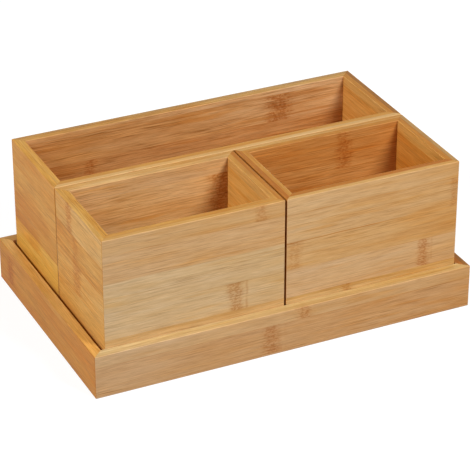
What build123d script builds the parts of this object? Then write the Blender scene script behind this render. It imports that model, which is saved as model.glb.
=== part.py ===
from build123d import *
import os

# Bamboo desk organizer: a low base tray that holds three open boxes, one long and two short.
#
# Millimetres. +X runs along the long side, +Y from the front to the back, +Z up. The origin is on the
# surface that the tray stands on, under the middle of the tray.
#
# The tray and the boxes are built alike: four boards with mitred corners round a floor panel, which
# sits in a groove cut all round inside the boards.

# Tray, outside
tray_length = 300.0
tray_depth = 190.0
tray_height = 34.0
rail_thickness = 8.0
tray_panel_thickness = 5.0
tray_panel_height = 3.0  # underside of the panel above the rails' lower edges

# Boxes
box_height = 111.0
wall_thickness = 8.0
box_panel_thickness = 5.0
box_panel_height = 4.0  # underside of the panel above the walls' lower edges

# Joinery and finish
groove_depth = 4.0  # how far the floor groove goes into a board
panel_play = 0.2  # room left round a floor panel in its groove, and above it
edge_radius = 0.6  # all outside edges and both edges of every rim are lightly eased

# Room left between the pieces that lift out
left_gap = 3.0  # tray rail to the boxes; the boxes stand towards the right
right_gap = 1.0
front_gap = 0.15
back_gap = 0.85
row_gap = 1.0  # between the long box and the short ones
centre_gap = 1.2  # between the two short boxes

# Places and sizes that follow
well_length = tray_length - 2 * rail_thickness
well_depth = tray_depth - 2 * rail_thickness
well_floor = tray_panel_height + tray_panel_thickness
long_box_length = well_length - left_gap - right_gap
short_box_length = (long_box_length - centre_gap) / 2
box_depth = (well_depth - front_gap - row_gap - back_gap) / 2
boxes_left = -well_length / 2 + left_gap
front_row_y = -well_depth / 2 + front_gap + box_depth / 2
back_row_y = front_row_y + box_depth + row_gap
long_box_x = boxes_left + long_box_length / 2
left_box_x = boxes_left + short_box_length / 2
right_box_x = left_box_x + short_box_length + centre_gap


def glued_frame(seat, length, depth, height, board, panel_height, panel_thickness):
    """The four boards of a tray or box as one ring, with eased edges and the groove for the floor."""
    with BuildPart() as frame:
        with BuildSketch(seat):
            Rectangle(length, depth)
        extrude(amount=height)
        fillet(frame.edges(), radius=edge_radius)
        with BuildSketch(seat):
            Rectangle(length - 2 * board, depth - 2 * board)
        extrude(amount=height, mode=Mode.SUBTRACT)
        rim = frame.faces().sort_by(Axis.Z)[-1]
        fillet(rim.inner_wires()[0].edges(), radius=edge_radius)
        with BuildSketch(seat.offset(panel_height)):
            Rectangle(length - 2 * board + 2 * groove_depth, depth - 2 * board + 2 * groove_depth)
        extrude(amount=panel_thickness + panel_play, mode=Mode.SUBTRACT)
    return frame.part


def mitred_board(frame, seat, height, corners):
    """One board of a frame: the part of the ring inside the wedge that its two mitres bound."""
    with BuildPart() as one_board:
        add(frame)
        with BuildSketch(seat):
            with BuildLine():
                Polyline(*corners, close=True)
            make_face()
        extrude(amount=height, mode=Mode.INTERSECT)
    return one_board.part


def floor_panel(seat, length, depth, thickness):
    """A floor panel, loose in its groove by the play on every side."""
    with BuildPart() as panel:
        with BuildSketch(seat):
            Rectangle(length, depth)
        extrude(amount=thickness)
    return panel.part


def export_piece(piece, name):
    piece.label = name
    export_step(piece, f"parts/{name}.step")


def make_container(name, side, seat, length, depth, height, board, panel_height, panel_thickness):
    """Builds and writes the four boards and the floor panel of the tray or of a box."""
    frame = glued_frame(seat, length, depth, height, board, panel_height, panel_thickness)
    right, back = length / 2, depth / 2
    reach = 2 * board  # the wedges end past the boards' inner faces
    inner_right, inner_back = right - reach, back - reach
    wedges = {
        "front": [(-right, -back), (right, -back), (inner_right, -inner_back), (-inner_right, -inner_back)],
        "back": [(-right, back), (right, back), (inner_right, inner_back), (-inner_right, inner_back)],
        "left": [(-right, -back), (-right, back), (-inner_right, inner_back), (-inner_right, -inner_back)],
        "right": [(right, -back), (right, back), (inner_right, inner_back), (inner_right, -inner_back)],
    }
    for place, corners in wedges.items():
        export_piece(mitred_board(frame, seat, height, corners), f"{name}_{place}_{side}")
    groove_room = 2 * (groove_depth - panel_play - board)
    panel = floor_panel(
        seat.offset(panel_height), length + groove_room, depth + groove_room, panel_thickness
    )
    export_piece(panel, f"{name}_floor")


os.makedirs("parts", exist_ok=True)

make_container(
    "tray", "rail", Plane.XY, tray_length, tray_depth, tray_height,
    rail_thickness, tray_panel_height, tray_panel_thickness,
)

boxes = {
    "long_box": (long_box_x, back_row_y, long_box_length),
    "left_box": (left_box_x, front_row_y, short_box_length),
    "right_box": (right_box_x, front_row_y, short_box_length),
}
for box_name, (box_x, box_y, box_length) in boxes.items():
    make_container(
        box_name, "wall", Plane((box_x, box_y, well_floor)), box_length, box_depth, box_height,
        wall_thickness, box_panel_height, box_panel_thickness,
    )
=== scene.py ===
import math
import random

import bpy
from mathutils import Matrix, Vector


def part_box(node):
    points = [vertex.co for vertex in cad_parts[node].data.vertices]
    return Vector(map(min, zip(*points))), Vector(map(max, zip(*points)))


# Looks of the bamboo desk organizer. Metres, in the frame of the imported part. Sizes of the grain are in
# millimetres, because the materials turn the frame's metres into millimetres first.

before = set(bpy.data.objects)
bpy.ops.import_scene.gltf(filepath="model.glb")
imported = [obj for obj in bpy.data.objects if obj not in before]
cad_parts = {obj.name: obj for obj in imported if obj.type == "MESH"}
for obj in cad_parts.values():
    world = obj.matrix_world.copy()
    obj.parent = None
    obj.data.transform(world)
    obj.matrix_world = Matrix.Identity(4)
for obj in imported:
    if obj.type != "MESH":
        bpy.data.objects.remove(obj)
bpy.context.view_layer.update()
METRE = 1000.0  # millimetres
X, Y, Z = 0, 1, 2

# Bamboo, as laminated board: strips run along each board, glued edge to edge
STRIP = 22.4  # width of a strip
NARROWEST = 4.0  # least width of the lowest strip, on the boards that the photo does not show
PLY = 3.7  # thickness of the outer one of the two layers of strips that a board is made of
PLY_BLEND = 0.4  # on both sides of the layers' joint, where one colour passes into the other
NODE_SPACING = 300.0  # between the node marks of one strip

# Fine lines: distances from the middle at which a line begins to show, and at which it is full
GLUE_LINE = (0.34, 0.12)
MITRE_LINE = (0.32, 0.12)
PLY_LINE = (0.45, 0.15)
GLUE_PATCH = (55.0, 20.0)  # length and width of the patches in which glue lines show

# Streaks: how far they sway and over what length, and how far they fade out at their ends
SWAY, SWAY_LENGTH = 1.2, 50.0
STREAK_END = 9.0

# Seeds of the grain: steps between strips and between boards, and what is added for a floor
STRIP_SEED = 3.7
BOARD_SEED = 10.0
FLOOR_SEED = 5

# Layers of noise in a strip: length and width of their grains, detail, and a shift that sets them apart
LAYERS = {
    "wander": (110.0, 36.0, 2.0, 0.0),  # bends the grain
    "ripple": (26.0, 7.0, 2.0, 1.3),
    "cloud": (60.0, 13.0, 2.0, 0.0),  # broad denser patches
    "hue": (60.0, 9.0, 1.0, 4.4),  # warmer and cooler patches
    "figure": (70.0, 3.0, 2.0, 0.7),  # bands
    "flames": (60.0, 4.5, 1.0, 3.6),  # warm tongues
    "busy": (100.0, 7.0, 1.0, 5.2),  # where the fine lines are stronger
    "streaks": (58.0, 1.3, 2.0, 2.1),  # fine lines, from wide to thin
    "threads": (28.0, 0.62, 2.0, 2.5),
    "fibres": (10.0, 0.34, 2.0, 2.9),
}

# Layers of noise in a node mark: length, width and shift
MARK_LAYERS = {
    "curve": (24.0, 8.0, 0.0),  # bends the mark
    "fray": (30.0, 0.9, 1.0),  # frays its edges
    "gaps": (30.0, 5.0, 2.0),  # in the line beside it
    "curls": (5.0, 2.4, 3.0),
    "dots": (2.6, 1.2, 4.0),
    "wisps": (40.0, 1.1, 5.0),
}

# Density is the exponent of a colour, so that dense bamboo is darker and more saturated
PLAIN_DENSITY = 0.98
TURN_DENSITY = 0.22  # from end to end of a board, times its turn

# Tints multiply the colour
WARM_TINT = (1.01, 0.93, 0.76)
COOL_TINT = (0.99, 1.02, 1.10)
MARK_TINT = (0.86, 0.73, 0.66)

# Warmth at which the warm tint begins and is full; for the cool one, both have the other sign
TINT_RANGE = (-0.1, 0.7)
COOLING = 0.08  # taken from the warmth everywhere

# Fibres darken red by their shade, and green and blue by so many times as much
PLAIN_SHADE = 1.05  # where there is no fibre
GREEN_SHADE, BLUE_SHADE = 1.25, 1.6

# How squarely a surface faces: across the strips, where it begins to be a rim and is all rim, and in
# any direction, where it begins to be an eased edge and is all of it
RIM_FACING = (0.75, 0.98)
EASED_FACING = (0.995, 0.92)

SANDED_HIGHLIGHT = (226, 186, 132)  # sRGB, towards which the eased edges go: the paler wood that sanding bares, and a painted highlight
SANDED_HIGHLIGHT_SHARE = 0.08  # of that colour on an eased edge

# Surface
ROUGHNESS, GRAIN_ROUGHNESS = 0.50, 0.05
SPECULAR = 0.15
BUMP, BUMP_HEIGHT = 0.25, 0.0001  # strength, and the height of the grain in metres

TONES = {  # sRGB, from 0 to 255: tones of faces and then of rims, roughly from pale to dark
    "straw": (209, 172, 123),
    "pale": (209, 169, 114),
    "biscuit": (207, 164, 103),
    "buff": (206, 161, 110),
    "tan": (204, 158, 104),
    "honey": (204, 154, 95),
    "fawn": (201, 151, 99),
    "hazel": (198, 147, 87),
    "umber": (192, 138, 83),
    "russet": (186, 128, 73),
    "golden": (222, 164, 70),
    "gold": (212, 158, 85),
    "brass": (214, 154, 75),
    "amber": (205, 144, 68),
    "ember": (208, 143, 66),
    "ochre": (205, 141, 60),
    "orange": (202, 132, 53),
    "sienna": (188, 123, 59),
    "copper": (199, 129, 44),
    "maize": (212, 159, 84),
    "linen": (198, 165, 110),
    "flax": (188, 153, 99),
    "cream": (193, 150, 92),
    "wheat": (187, 140, 77),
    "corn": (192, 144, 71),
    "saffron": (188, 134, 55),
    "sand": (180, 132, 67),
    "gilt": (180, 126, 54),
    "khaki": (169, 128, 73),
    "toffee": (171, 111, 37),
    "rust": (163, 99, 29),
    "bark": (140, 90, 33),
}
COMMON_TONES = ["straw", "pale", "tan", "honey", "amber"]  # of the strips that the photo does not show


def linear(colour):
    """An sRGB colour from 0 to 255 as linear values with alpha, the way shader sockets take it."""
    shares = [value / 255 for value in colour]
    return (*[s / 12.92 if s <= 0.04045 else ((s + 0.055) / 1.055) ** 2.4 for s in shares], 1.0)


# Node trees


def add_node(tree, kind, inputs, **settings):
    """A new node with its settings and inputs. An input is a value or another node's output."""
    node = tree.nodes.new(kind)
    for name, value in settings.items():
        setattr(node, name, value)
    for place, value in inputs.items():
        if isinstance(value, bpy.types.NodeSocket):
            tree.links.new(value, node.inputs[place])
        else:
            node.inputs[place].default_value = value
    return node


def calc(tree, operation, first, second=0.0, third=0.0):
    """The result of a math node."""
    inputs = {0: first, 1: second, 2: third}
    return add_node(tree, "ShaderNodeMath", inputs, operation=operation).outputs[0]


def scaled(tree, value, size):
    """A place, counted in grains of this size."""
    return calc(tree, "DIVIDE", value, size)


def weighted(tree, *terms, start=None):
    """The sum of values times their weights, added to start if there is one."""
    total = start
    for value, weight in terms:
        if total is None:
            total = calc(tree, "MULTIPLY", value, weight)
        else:
            total = calc(tree, "MULTIPLY_ADD", value, weight, total)
    return total


def fade(tree, value, low, high):
    """0 at low, 1 at high and a smooth step between them."""
    inputs = {"Value": value, "From Min": low, "From Max": high}
    return add_node(tree, "ShaderNodeMapRange", inputs, interpolation_type="SMOOTHSTEP").outputs[0]


def window(tree, value, low, high, soft):
    """1 between low and high and 0 outside, over soft on both sides."""
    rise = fade(tree, value, low - soft, low + soft)
    fall = fade(tree, value, high + soft, high - soft)
    return calc(tree, "MULTIPLY", rise, fall)


def noise(tree, along, across, depth, seed, detail=2.0):
    """Noise from -1 to 1 at a place counted in grains, in 4-D so that each seed has its own."""
    place = add_node(tree, "ShaderNodeCombineXYZ", {0: along, 1: across, 2: depth}).outputs[0]
    inputs = {"Vector": place, "W": seed, "Scale": 1.0, "Detail": detail, "Roughness": 0.55}
    value = add_node(tree, "ShaderNodeTexNoise", inputs, noise_dimensions="4D").outputs[0]
    return calc(tree, "MULTIPLY_ADD", value, 2.0, -1.0)


def mixed(tree, colour, share, other, blend="MIX"):
    """The colour, turned into another, or multiplied by it, as far as share says."""
    inputs = {0: share, 6: colour, 7: other}
    return add_node(tree, "ShaderNodeMix", inputs, data_type="RGBA", blend_type=blend).outputs[2]


def multiplied(tree, colour, share, tint):
    """The colour times a tint, a tuple or another node's output, as far as share says."""
    if isinstance(tint, tuple):
        tint = (*tint, 1.0)
    return mixed(tree, colour, share, tint, "MULTIPLY")


def new_group(name, inputs, outputs):
    """A node group whose sockets are all numbers, and what it is given."""
    tree = bpy.data.node_groups.new(name, "ShaderNodeTree")
    for in_out, sockets in (("INPUT", inputs), ("OUTPUT", outputs)):
        for socket in sockets:
            tree.interface.new_socket(socket, in_out=in_out, socket_type="NodeSocketFloat")
    return tree, tree.nodes.new("NodeGroupInput").outputs


def end_group(tree, results):
    """Links the results to the outputs of their names."""
    inputs = tree.nodes.new("NodeGroupOutput").inputs
    for name, value in results.items():
        tree.links.new(value, inputs[name])
    return tree


def new_material(name):
    material = bpy.data.materials.new(name)
    material.use_nodes = True
    material.node_tree.nodes.clear()
    return material


# Bamboo


def make_grain_group():
    """Fibres of one strip at a place: how dense and how warm the bamboo is, how dark its fibres are, and
    how high its surface stands. All are about 0."""
    tree, given = new_group(
        "bamboo_grain", ("Along", "Across", "Depth", "Strip"), ("Density", "Warmth", "Shade", "Height")
    )

    def layer(name, across):
        length, width, detail, shift = LAYERS[name]
        own = calc(tree, "ADD", given["Strip"], shift)
        thick = scaled(tree, given["Depth"], width)
        along = scaled(tree, given["Along"], length)
        return noise(tree, along, scaled(tree, across, width), thick, own, detail)

    straight = given["Across"]
    bends = (layer("wander", straight), 1.7), (layer("ripple", straight), 0.3)
    across = weighted(tree, *bends, start=straight)
    cloud, hue, figure = [layer(name, across) for name in ("cloud", "hue", "figure")]
    streaks, threads, fibres = [layer(name, across) for name in ("streaks", "threads", "fibres")]
    bundles = fade(tree, threads, 0.02, 0.38)
    busy = fade(tree, layer("busy", across), -0.30, 0.40)
    flames = fade(tree, layer("flames", across), 0.12, 0.50)
    density = weighted(tree, (cloud, 0.14), (figure, 0.075), (flames, 0.06))
    warmth = weighted(tree, (figure, 0.35), (flames, 0.55), start=hue)
    lines = weighted(tree, (streaks, 0.105), (threads, 0.20), (bundles, 0.10))
    lines = calc(tree, "MULTIPLY", lines, weighted(tree, (busy, 0.85), start=0.45))
    shade = weighted(tree, (fibres, 0.27), start=lines)
    height = weighted(tree, (bundles, -0.6), start=streaks)
    return end_group(tree, {"Density": density, "Warmth": warmth, "Shade": shade, "Height": height})


def make_mark_group():
    """A node mark of the bamboo culm: a brown band of curled fibres across one strip, with wisps that
    run out of it along the grain, and a fine line beside it."""
    tree, given = new_group(
        "node_mark",
        ("Along", "Across", "Strip", "Place", "Its strip", "Width", "Strength", "Line"),
        ("Mark",),
    )
    away = calc(tree, "SUBTRACT", given["Along"], given["Place"])

    def layer(name):
        length, width, shift = MARK_LAYERS[name]
        own = calc(tree, "ADD", given["Place"], shift)
        across = scaled(tree, given["Across"], width)
        return noise(tree, scaled(tree, away, length), across, 0.0, own)

    # where the place is in the mark, as a share of its width from its middle
    curve = layer("curve")
    in_band = calc(tree, "DIVIDE", weighted(tree, (curve, 5.0), start=away), given["Width"])
    beside = calc(tree, "DIVIDE", weighted(tree, (curve, 1.6), start=away), given["Width"])

    band = window(tree, weighted(tree, (layer("fray"), 0.42), start=in_band), -0.36, 0.20, 0.20)
    curls = fade(tree, calc(tree, "ABSOLUTE", layer("curls")), 0.20, 0.0)
    dots = fade(tree, layer("dots"), 0.02, 0.40)
    body = weighted(tree, (curls, 0.75), (dots, 0.75), start=0.30)
    line = window(tree, beside, 0.42, 0.50, 0.06)
    line = calc(tree, "MULTIPLY", line, fade(tree, layer("gaps"), -0.4, 0.1))
    near = window(tree, in_band, -0.3, 0.6, 1.4)
    wisps = calc(tree, "MULTIPLY", near, fade(tree, layer("wisps"), 0.14, 0.55))

    mark = calc(tree, "MULTIPLY", band, body)
    mark = weighted(tree, (line, given["Line"]), (wisps, 0.6), start=mark)
    here = calc(tree, "COMPARE", given["Strip"], given["Its strip"], 0.5)
    mark = calc(tree, "MULTIPLY", mark, here)
    mark = calc(tree, "MULTIPLY", mark, given["Strength"])
    return end_group(tree, {"Mark": mark})


GRAIN = make_grain_group()
MARK = make_mark_group()


def strip_tones(tree, t, first, tones):
    """Colour of the strip at the height t."""
    reach = first + STRIP * (len(tones) - 1)
    node = add_node(tree, "ShaderNodeValToRGB", {0: scaled(tree, t, reach)})
    ramp = node.color_ramp
    ramp.interpolation = "CONSTANT"
    ramp.elements.remove(ramp.elements[1])
    ramp.elements[0].color = linear(TONES[tones[0]])
    for order, tone in enumerate(tones[1:]):
        ramp.elements.new((first + STRIP * order) / reach).color = linear(TONES[tone])
    return node.outputs[0]


def bamboo(
    name, axes, length, seed, rim, first, tones,
    outside=None, marks=(), streaks=(), figure=1.0, turn=0.0,
):
    """Material of one board, for the directions along it, across its strips and into it.

    axes: for each direction, the frame's axis, where the board starts on it, and the sign
    rim: tones of the outer and the inner layer, where they show on rims and lower edges
    first: width of the lowest strip
    tones: tones of the strips, from the lowest up
    outside: tone of the outer layer, if it has one of its own; where it is dark, on the walls that meet
    across the gap between the short boxes, it is painted shade in that gap
    marks: place along the board, strip, width, strength, and strength of the line beside it
    streaks: height, start, end, half width, and strength, which is below 0 for a pale one
    figure: strength of the grain
    turn: how much warmer and denser the far end is
    """
    material = new_material(name)
    tree = material.node_tree
    spot = add_node(tree, "ShaderNodeTexCoord", {})
    place = add_node(tree, "ShaderNodeSeparateXYZ", {0: spot.outputs["Object"]}).outputs
    s, t, d = [
        calc(tree, "MULTIPLY", calc(tree, "SUBTRACT", place[axis], start), sign * METRE)
        for axis, start, sign in axes
    ]
    strip = calc(tree, "FLOOR", calc(tree, "MULTIPLY_ADD", t, 1 / STRIP, 1 - first / STRIP))
    own = calc(tree, "MULTIPLY_ADD", strip, STRIP_SEED, seed)
    inputs = {"Along": s, "Across": t, "Depth": d, "Strip": own}
    grain = add_node(tree, "ShaderNodeGroup", inputs, node_tree=GRAIN).outputs

    # tone of each strip, and of the two layers on rims and lower edges
    normal = add_node(tree, "ShaderNodeSeparateXYZ", {0: spot.outputs["Normal"]}).outputs
    facing_s, facing_t, facing_d = [calc(tree, "ABSOLUTE", normal[axis]) for axis, _, _ in axes]
    on_rim = fade(tree, facing_t, *RIM_FACING)
    in_outer = fade(tree, d, PLY + PLY_BLEND, PLY - PLY_BLEND)
    outer, inner = [linear(TONES[tone]) for tone in rim]
    colour = strip_tones(tree, t, first, tones)
    # the outer layer's tone, which on the walls beside the gap between the short boxes is painted shade
    if outside:
        colour = mixed(tree, colour, in_outer, linear(TONES[outside]))
    colour = mixed(tree, colour, on_rim, mixed(tree, inner, in_outer, outer))

    def less_on_rim(value, cut):
        """The value, with this share of it cut on rims and lower edges."""
        return calc(tree, "MULTIPLY", value, weighted(tree, (on_rim, -cut), start=1.0))

    # fine lines: glue between strips, which shows here and there, the mitres, and, on rims and lower
    # edges, the joint of the two layers
    beside = calc(tree, "PINGPONG", calc(tree, "SUBTRACT", t, first), STRIP / 2)
    patch_length, patch_width = GLUE_PATCH
    patches = noise(tree, scaled(tree, s, patch_length), scaled(tree, t, patch_width), 0.0, seed)
    glue = calc(tree, "MULTIPLY", fade(tree, beside, *GLUE_LINE), fade(tree, patches, -0.2, 0.4))
    to_end = calc(tree, "MINIMUM", s, calc(tree, "SUBTRACT", length, s))
    mitre = fade(tree, calc(tree, "ABSOLUTE", calc(tree, "SUBTRACT", to_end, d)), *MITRE_LINE)
    mitre = less_on_rim(mitre, 0.75)
    between = fade(tree, calc(tree, "ABSOLUTE", calc(tree, "SUBTRACT", d, PLY)), *PLY_LINE)
    between = calc(tree, "MULTIPLY", between, on_rim)

    mark_sum = 0.0
    for at, its_strip, width, strength, line in marks:
        inputs = {
            "Along": s, "Across": t, "Strip": strip, "Place": at, "Its strip": float(its_strip),
            "Width": width, "Strength": strength, "Line": line,
        }
        one_mark = add_node(tree, "ShaderNodeGroup", inputs, node_tree=MARK).outputs[0]
        mark_sum = calc(tree, "ADD", mark_sum, one_mark)
    mark_sum = less_on_rim(mark_sum, 0.8)

    density = weighted(tree, (grain["Density"], figure), start=PLAIN_DENSITY)
    trend = weighted(tree, (s, TURN_DENSITY * turn / length), start=-TURN_DENSITY / 2 * turn)
    density = calc(tree, "ADD", density, less_on_rim(trend, 0.5))
    lines = (glue, 0.35), (mitre, 0.45), (between, 0.12)
    density = weighted(tree, *lines, (mark_sum, 0.22), start=density)
    for height, start, end, thick, strength in streaks:
        sway = noise(tree, scaled(tree, s, SWAY_LENGTH), height, 0.0, seed)
        off = calc(tree, "SUBTRACT", t, height)  # to which the sway and the grain's own lines add
        off = weighted(tree, (sway, SWAY), (grain["Height"], 0.25 * thick), start=off)
        streak = fade(tree, calc(tree, "ABSOLUTE", off), thick, 0.2 * thick)
        streak = calc(tree, "MULTIPLY", streak, window(tree, s, start, end, STREAK_END))
        density = weighted(tree, (streak, strength), start=density)
    colour = add_node(tree, "ShaderNodeGamma", {0: colour, 1: density}).outputs[0]

    warmth = calc(tree, "SUBTRACT", grain["Warmth"], COOLING + turn / 2)
    warmth = weighted(tree, (s, turn / length), start=warmth)
    begin, full = TINT_RANGE
    colour = multiplied(tree, colour, fade(tree, warmth, begin, full), WARM_TINT)
    colour = multiplied(tree, colour, fade(tree, warmth, -begin, -full), COOL_TINT)
    colour = multiplied(tree, colour, mark_sum, MARK_TINT)
    red = weighted(tree, (grain["Shade"], -figure), start=PLAIN_SHADE)
    green = weighted(tree, (red, GREEN_SHADE), start=1 - GREEN_SHADE)
    blue = weighted(tree, (red, BLUE_SHADE), start=1 - BLUE_SHADE)
    shade = add_node(tree, "ShaderNodeCombineColor", {0: red, 1: green, 2: blue}).outputs[0]
    colour = multiplied(tree, colour, 1.0, shade)

    # eased edges are painted paler: partly the paler wood that sanding bares, and partly a painted
    # highlight where a rounded edge catches the light
    flattest = calc(tree, "MAXIMUM", calc(tree, "MAXIMUM", facing_s, facing_t), facing_d)
    eased_highlight = calc(tree, "MULTIPLY", fade(tree, flattest, *EASED_FACING), SANDED_HIGHLIGHT_SHARE)
    colour = mixed(tree, colour, eased_highlight, linear(SANDED_HIGHLIGHT))

    rough = weighted(tree, (grain["Height"], GRAIN_ROUGHNESS), start=ROUGHNESS)
    inputs = {"Height": grain["Height"], "Strength": BUMP, "Distance": BUMP_HEIGHT}
    bump = add_node(tree, "ShaderNodeBump", inputs).outputs[0]
    inputs = {
        "Base Color": colour, "Roughness": rough, "Normal": bump, "Specular IOR Level": SPECULAR,
    }
    surface = add_node(tree, "ShaderNodeBsdfPrincipled", inputs).outputs[0]
    add_node(tree, "ShaderNodeOutputMaterial", {0: surface})
    return material


# Looks of the boards whose faces or insides the photo shows, as bamboo() takes them
SEEN = {
    "left_box_front_wall": {
        "first": 9.0, "tones": ["pale", "pale", "straw", "straw", "buff", "tan"],
        "figure": 1.2, "turn": 0.4,
        "marks": [(102.0, 2, 16.0, 1.05, 0.6), (122.0, 5, 13.0, 0.6, 0.1)],
        "streaks": [
            (73.0, 80.0, 140.0, 0.5, 0.22), (70.0, 95.0, 140.0, 0.4, 0.22), (64.0, -5.0, 90.0, 0.4, 0.2),
            (100.5, 60.0, 120.0, 1.6, 0.08), (30.2, -5.0, 145.0, 1.8, 0.15),
        ],
    },
    "right_box_front_wall": {
        "first": 8.6, "tones": ["honey", "biscuit", "buff", "honey", "tan", "tan"],
        "figure": 1.2, "turn": 0.6,
        "marks": [
            (8.0, 3, 18.0, 0.42, 0.1), (113.0, 2, 13.0, 1.1, 0.3), (137.0, 4, 8.0, 0.5, 0.1),
            (49.5, 1, 13.0, 0.8, 0.1),
        ],
        "streaks": [
            (75.4, -5.0, 76.0, 0.4, 0.55), (97.0, 50.0, 90.0, 3.6, 0.12), (61.0, 85.0, 145.0, 5.0, 0.12),
            (97.5, -5.0, 35.0, 1.4, 0.12), (29.8, -5.0, 145.0, 1.8, 0.2),
        ],
    },
    "left_box_left_wall": {
        "first": 21.6, "tones": ["amber", "brass", "brass", "ochre", "gold"],
        "figure": 1.8, "turn": 0.5,
        "marks": [(62.0, 4, 15.0, 1.0, 0.1), (50.0, 2, 19.0, 0.75, 0.0), (52.0, 3, 15.0, 0.5, 0.0)],
    },
    "long_box_left_wall": {
        # The two lower strips are bright golden: partly their own tone, and partly painted light that
        # lifts the bottom of the face beside the tray's left rail
        "first": 2.4, "tones": ["copper", "golden", "golden", "ochre", "ochre", "ochre"],
        "figure": 1.5,
        "streaks": [(46.0, 36.0, 95.0, 14.0, 0.32), (66.0, 15.0, 95.0, 12.0, 0.16)],
    },
    "long_box_back_wall": {
        "first": 17.0, "tones": ["tan", "amber", "amber", "russet", "umber", "fawn"],
        "figure": 1.9, "turn": -0.7,
        "marks": [(219.5, 4, 31.0, 1.25, 0.0), (60.0, 3, 14.0, 0.7, 0.1)],
        "streaks": [
            (104.0, 8.0, 185.0, 0.9, 0.16), (88.0, 205.0, 262.0, 1.2, 0.3),
            (96.0, 215.0, 255.0, 1.0, 0.2), (103.5, 224.0, 256.0, 2.8, 0.24),
            (92.0, 240.0, 275.0, 6.0, -0.16),
        ],
    },
    "left_box_back_wall": {
        "first": 9.7, "tones": ["tan", "honey", "honey", "hazel", "honey", "tan"],
        "figure": 1.6,
        "marks": [(130.0, 4, 30.0, 1.1, 0.0), (128.0, 3, 30.0, 0.8, 0.0)],
    },
    "right_box_back_wall": {
        "first": 14.0, "tones": ["amber", "honey", "sienna", "sienna", "sienna", "sienna"],
        "figure": 1.8,
        "marks": [(88.0, 4, 17.0, 0.85, 0.0), (87.0, 5, 15.0, 0.6, 0.0)],
    },
    "long_box_right_wall": {
        "first": 14.0, "tones": ["amber", "honey", "ember", "ember", "ember", "gold"],
        "figure": 1.5,
    },
    # Its outer layer is dark rust: on the face towards the right box it is painted shade in the narrow
    # gap between the boxes
    "left_box_right_wall": {
        "first": 14.0, "tones": ["amber", "honey", "brass", "brass", "brass", "gold"],
        "figure": 1.2, "outside": "rust",
    },
    "right_box_right_wall": {
        "first": 12.4, "tones": ["amber", "honey", "orange", "orange", "orange", "brass"],
        "figure": 1.5,
    },
    # Its outer layer is dark rust: on the face towards the left box it is painted shade in the narrow gap
    # between the boxes
    "right_box_left_wall": {
        "first": 6.0, "tones": ["amber", "honey", "tan", "tan", "amber", "honey"],
        "figure": 1.4, "outside": "rust",
    },
    "tray_front_rail": {
        "first": 2.0, "tones": ["fawn", "fawn", "buff"],
        "figure": 1.3, "turn": 0.65,
        "marks": [(138.0, 1, 21.0, 0.8, 0.15), (163.5, 2, 15.0, 0.9, 0.1)],
    },
    "tray_left_rail": {
        "first": 6.0, "tones": ["copper", "copper", "copper"],
        "figure": 1.4,
        "marks": [(168.0, 1, 18.0, 0.8, 0.1)],
    },
}

# Rims: tones of the outer and the inner layer
RIMS = {
    "left_box_front_wall": ("sand", "gilt"),
    "left_box_right_wall": ("rust", "gilt"),
    "left_box_back_wall": ("wheat", "cream"),
    "left_box_left_wall": ("corn", "saffron"),
    "right_box_front_wall": ("wheat", "rust"),
    "right_box_left_wall": ("rust", "gilt"),
    "right_box_back_wall": ("wheat", "toffee"),
    "right_box_right_wall": ("khaki", "toffee"),
    "long_box_front_wall": ("cream", "gilt"),
    "long_box_right_wall": ("bark", "toffee"),
    "long_box_back_wall": ("khaki", "sand"),
    "long_box_left_wall": ("saffron", "corn"),
    "tray_front_rail": ("flax", "linen"),
    "tray_left_rail": ("maize", "maize"),
    # The right rail's rim is dark: partly a darker board, and partly painted shadow of the boxes beside
    # it
    "tray_right_rail": ("bark", "rust"),
    "tray_back_rail": ("wheat", "sand"),
}
FLOOR_RIM = ("wheat", "sand")


def dress(node, material):
    """Gives a piece one material."""
    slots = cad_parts[node].data.materials
    slots.clear()
    slots.append(material)


def random_marks(chance, count, length):
    """Node marks as they fall in cut bamboo, at most one in each strip."""
    marks = []
    for strip in range(count):
        place = chance.uniform(0.0, NODE_SPACING)
        if place < length:
            marks.append((place, strip, chance.uniform(9.0, 15.0), chance.uniform(0.35, 1.0), 0.4))
    return marks


def random_look(chance, width, length):
    """Strips and marks of a board that the photo does not show."""
    first = chance.uniform(NARROWEST, STRIP)
    count = 1 + math.ceil((width - first) / STRIP)
    tones = [chance.choice(COMMON_TONES) for _ in range(count)]
    return {"first": first, "tones": tones, "marks": random_marks(chance, count, length)}


def dress_container(name, side, seed):
    """Materials of the four boards and the floor of the tray or of a box. The random draws are the same
    whichever of the boards the photo shows."""
    chance = random.Random(seed)
    ends = [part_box(f"{name}_{place}_{side}") for place in ("front", "back", "left", "right")]
    low = [min(e[0][axis] for e in ends) for axis in (X, Y, Z)]
    high = [max(e[1][axis] for e in ends) for axis in (X, Y, Z)]
    length, width, height = [(high[axis] - low[axis]) * METRE for axis in (X, Y, Z)]
    boards = {
        "front": ((X, low[X], 1), (Y, low[Y], 1), length),
        "back": ((X, low[X], 1), (Y, high[Y], -1), length),
        "left": ((Y, low[Y], 1), (X, low[X], 1), width),
        "right": ((Y, low[Y], 1), (X, high[X], -1), width),
    }
    for place, (along, depth, board_length) in boards.items():
        node = f"{name}_{place}_{side}"
        seed += 1
        look = random_look(chance, height, board_length)
        look = SEEN.get(node, look)
        axes = (along, (Z, low[Z], 1), depth)
        dress(node, bamboo(node, axes, board_length, seed * BOARD_SEED, RIMS[node], **look))
    node = f"{name}_floor"
    low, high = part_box(node)
    length, width = (high[X] - low[X]) * METRE, (high[Y] - low[Y]) * METRE
    look = random_look(chance, width, length)
    axes = ((X, low[X], 1), (Y, low[Y], 1), (Z, low[Z], 1))
    dress(node, bamboo(node, axes, length, seed * BOARD_SEED + FLOOR_SEED, FLOOR_RIM, **look))


dress_container("tray", "rail", 10)
dress_container("long_box", "wall", 20)
dress_container("left_box", "wall", 30)
dress_container("right_box", "wall", 40)


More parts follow.
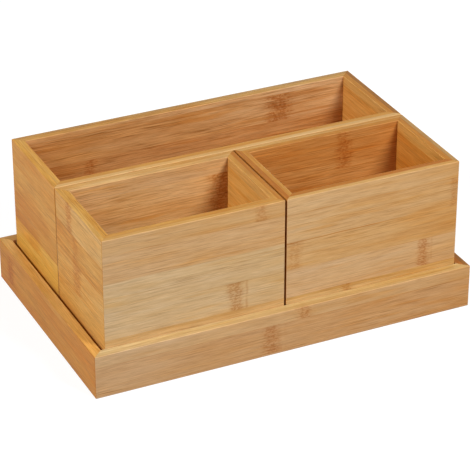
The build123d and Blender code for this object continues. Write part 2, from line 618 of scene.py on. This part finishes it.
# Studio

FLOOR_SIZE = 12.0
FLOOR_DROP = 0.0002  # under the tray, so that its lower faces are not in the floor's own plane
FLOOR_GREY = 0.3  # share of the lamps' light that the floor gives back
FLOOR_GLOW = 0.80  # added to that where the floor is looked at, which makes it white


def looked_at(tree):
    """1 for rays that show a surface, straight, mirrored or through glass, and 0 for other light."""
    rays = add_node(tree, "ShaderNodeLightPath", {}).outputs
    either = calc(tree, "MAXIMUM", rays["Is Camera Ray"], rays["Is Glossy Ray"])
    return calc(tree, "MAXIMUM", either, rays["Is Transmission Ray"])


def make_floor():
    """A white floor that keeps a soft shadow of the object."""
    mesh = bpy.data.meshes.new("floor")
    half = FLOOR_SIZE / 2
    outline = ((-half, -half), (half, -half), (half, half), (-half, half))
    mesh.from_pydata([(x, y, -FLOOR_DROP) for x, y in outline], [], [(0, 1, 2, 3)])
    floor = bpy.data.objects.new("floor", mesh)
    bpy.context.scene.collection.objects.link(floor)
    material = new_material("floor")
    tree = material.node_tree
    grey = (FLOOR_GREY, FLOOR_GREY, FLOOR_GREY, 1.0)
    matt = add_node(tree, "ShaderNodeBsdfDiffuse", {"Color": grey}).outputs[0]
    strength = calc(tree, "MULTIPLY", looked_at(tree), FLOOR_GLOW)
    glow = add_node(tree, "ShaderNodeEmission", {"Strength": strength}).outputs[0]
    both = add_node(tree, "ShaderNodeAddShader", {0: matt, 1: glow}).outputs[0]
    add_node(tree, "ShaderNodeOutputMaterial", {0: both})
    mesh.materials.append(material)


def make_world(fill):
    """A white room: white where it is looked at, and an even fill on the object."""
    world = bpy.data.worlds.new("room")
    bpy.context.scene.world = world
    world.use_nodes = True
    tree = world.node_tree
    tree.nodes.clear()
    strength = calc(tree, "MAXIMUM", looked_at(tree), fill)
    inputs = {"Color": (1.0, 1.0, 1.0, 1.0), "Strength": strength}
    background = add_node(tree, "ShaderNodeBackground", inputs).outputs[0]
    add_node(tree, "ShaderNodeOutputWorld", {0: background})


def from_angles(azimuth, elevation):
    """Direction from the object, by angles in degrees: azimuth 0 is the front and 90 the right side."""
    a, e = math.radians(azimuth), math.radians(elevation)
    return Vector((math.sin(a) * math.cos(e), -math.cos(a) * math.cos(e), math.sin(e)))


def softbox(name, azimuth, elevation, distance, size, power, glossy=True):
    """A square lamp that looks at the object."""
    data = bpy.data.lights.new(name, "AREA")
    data.shape = "SQUARE"
    data.size = size
    data.energy = power
    lamp = bpy.data.objects.new(name, data)
    lamp.visible_glossy = glossy
    direction = from_angles(azimuth, elevation)
    lamp.location = direction * distance
    lamp.rotation_mode = "QUATERNION"
    lamp.rotation_quaternion = direction.to_track_quat("Z", "Y")
    bpy.context.scene.collection.objects.link(lamp)


def make_camera(azimuth, elevation, distance, target, lens):
    """The scene's camera, at the photo's viewing angle."""
    data = bpy.data.cameras.new("camera")
    data.sensor_width = 36.0
    data.lens = lens
    data.clip_start, data.clip_end = 0.05, 50.0
    camera = bpy.data.objects.new("camera", data)
    back = from_angles(azimuth, elevation)
    camera.location = Vector(target) + back * distance
    camera.rotation_mode = "QUATERNION"
    camera.rotation_quaternion = (-back).to_track_quat("-Z", "Y")
    bpy.context.scene.collection.objects.link(camera)
    bpy.context.scene.camera = camera


make_floor()
make_world(fill=0.06)
softbox("key", azimuth=22.0, elevation=39.0, distance=1.6, size=0.45, power=19.4)
softbox("left", azimuth=-83.0, elevation=39.0, distance=1.6, size=0.38, power=16.3)
softbox("back", azimuth=150.0, elevation=27.0, distance=1.6, size=0.8, power=8.5, glossy=False)
make_camera(
    azimuth=-25.412, elevation=28.885, distance=1.71897, target=(0.00531, 0.00596, 0.04389), lens=175.93
)
bpy.context.scene.view_settings.view_transform = "Standard"
